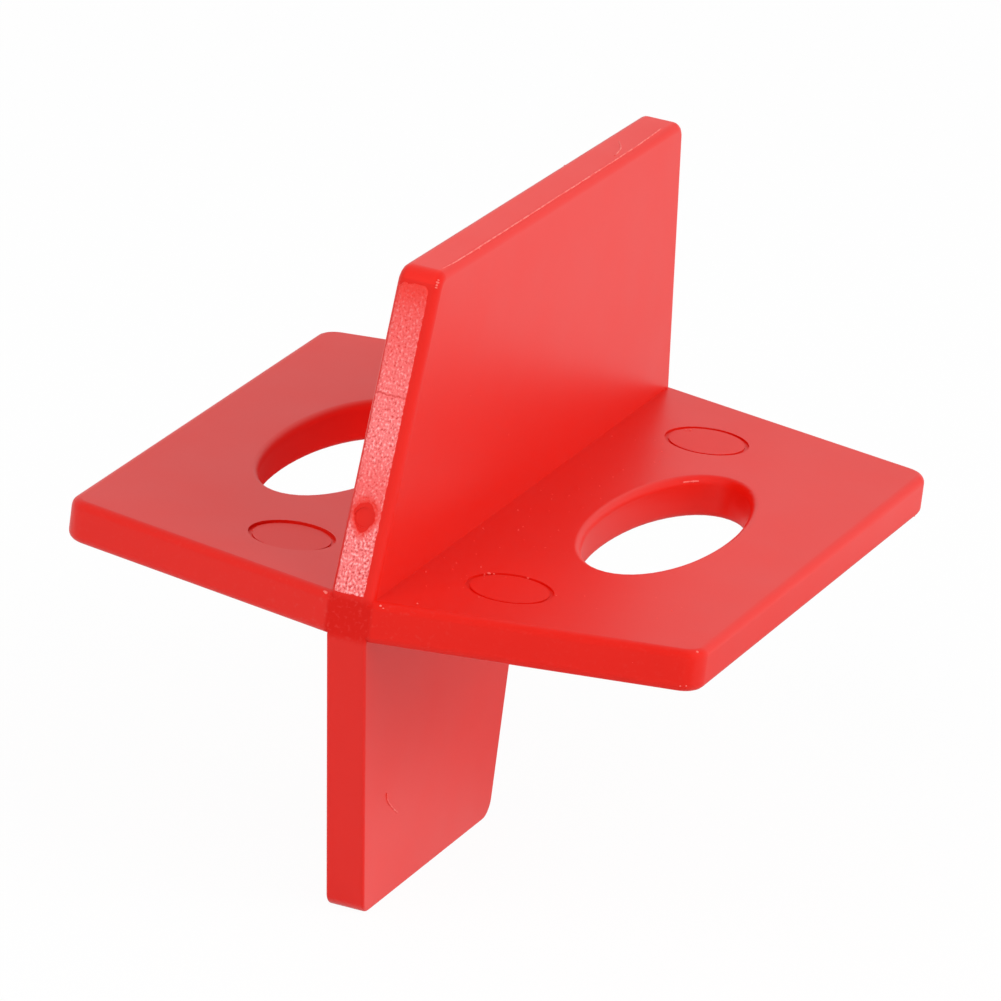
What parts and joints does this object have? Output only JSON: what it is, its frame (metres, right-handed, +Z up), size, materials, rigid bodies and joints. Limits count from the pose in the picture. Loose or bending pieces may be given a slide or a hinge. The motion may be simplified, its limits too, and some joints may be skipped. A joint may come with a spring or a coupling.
{
  "type": "tile spacer",
  "caption": "Cross-shaped moulded plastic tile spacer: slab arms with sloping ends, oval holes through the wings, a full-length blade above and a shortened tongue below.",
  "frame": {"origin": "the point on the cross's axis, halfway along it, where the arms meet", "axes": "+X across the blade to the right wing, +Y along the cross's axis towards the end without a tongue, +Z up along the blade"},
  "size_m": [0.0308, 0.0386, 0.0308],
  "materials": {
    "red_plastic": "satin, slightly translucent"
  },
  "bodies": {
    "root": {"tile_spacer": "red_plastic"}
  },
  "joints": []
}
